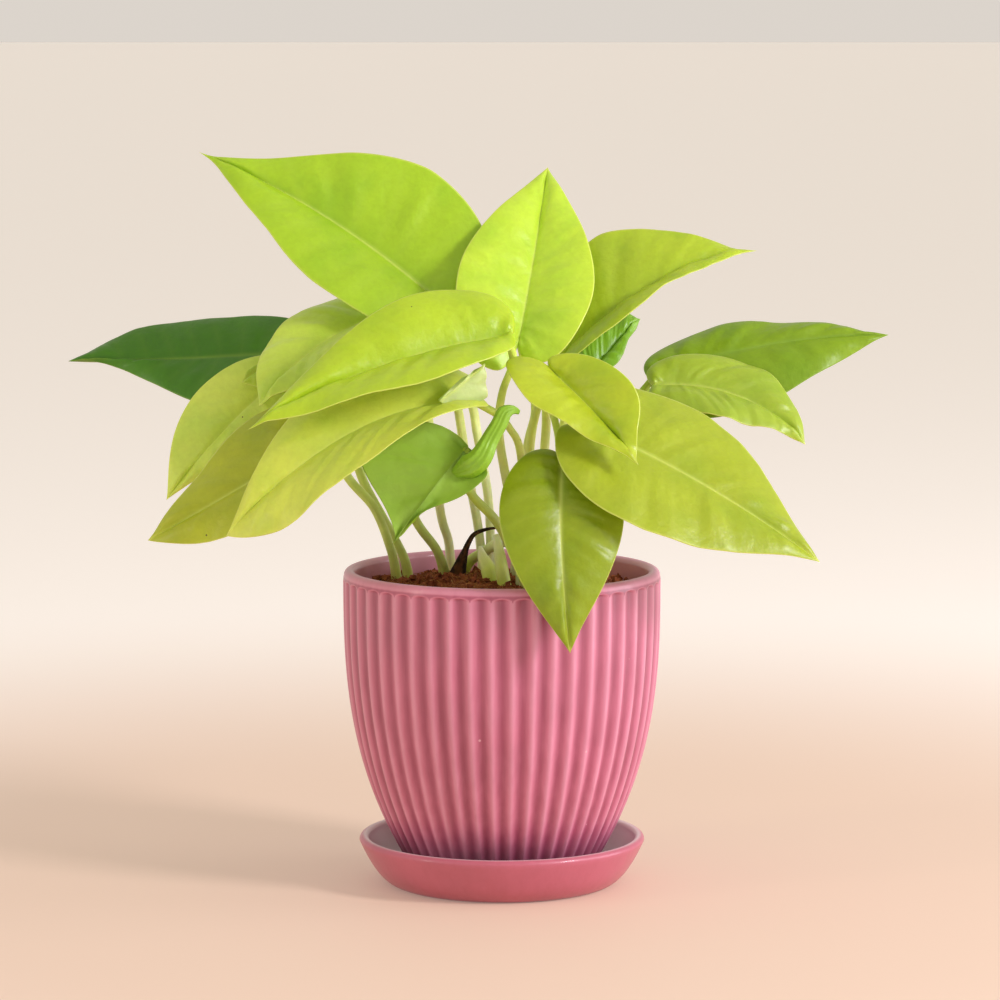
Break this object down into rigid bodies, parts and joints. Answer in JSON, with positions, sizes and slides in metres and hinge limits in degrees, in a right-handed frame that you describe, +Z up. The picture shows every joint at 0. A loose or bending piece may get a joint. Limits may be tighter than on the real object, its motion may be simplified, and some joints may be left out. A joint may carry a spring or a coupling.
{
  "type": "potted pothos plant",
  "caption": "Lime-leaved pothos with a few darker leaves, growing in a ribbed pink glazed pot that stands in a matching saucer.",
  "frame": {"origin": "middle of the saucer's flat underside, on the surface it stands on", "axes": "+Z up; -Y is the front, where one leaf hangs over the rim; +X to the right seen from the front"},
  "size_m": [0.307, 0.1344, 0.2682],
  "materials": {
    "pot_glaze": "satin pink glaze on stoneware",
    "saucer_glaze": "satin pink glaze on stoneware, greyer inside",
    "potting_mix": "crumbled coir",
    "lime_leaf": "waxy satin leaf, yellow-green",
    "dark_leaf": "waxy satin leaf, deep green",
    "stalk": "smooth pale green stalk",
    "dried_sheath": "dry black-brown husk"
  },
  "bodies": {
    "root": {"blade_centre": "lime_leaf", "blade_curled_young": "dark_leaf", "blade_dark_back": "dark_leaf", "blade_dark_left": "dark_leaf", "blade_dark_right": "dark_leaf", "blade_front_hanging": "lime_leaf", "blade_front_left": "lime_leaf", "blade_hidden_left": "lime_leaf", "blade_large_right": "lime_leaf", "blade_low_front": "lime_leaf", "blade_low_left": "lime_leaf", "blade_pale_left": "lime_leaf", "blade_small_left": "lime_leaf", "blade_small_right": "lime_leaf", "blade_top_centre": "lime_leaf", "blade_top_left": "lime_leaf", "blade_top_right": "lime_leaf", "dried_sheath": "dried_sheath", "green_bract": "stalk", "pot": "pot_glaze", "rooted_cutting": "stalk", "saucer": "saucer_glaze", "soil": "potting_mix", "stalk_centre": "stalk", "stalk_curled_young": "stalk", "stalk_dark_back": "stalk", "stalk_dark_left": "stalk", "stalk_dark_right": "stalk", "stalk_front_hanging": "stalk", "stalk_front_left": "stalk", "stalk_hidden_left": "stalk", "stalk_large_right": "stalk", "stalk_low_front": "stalk", "stalk_low_left": "stalk", "stalk_pale_left": "stalk", "stalk_small_left": "stalk", "stalk_small_right": "stalk", "stalk_top_centre": "stalk", "stalk_top_left": "stalk", "stalk_top_right": "stalk", "vine_stem": "stalk"}
  },
  "joints": []
}
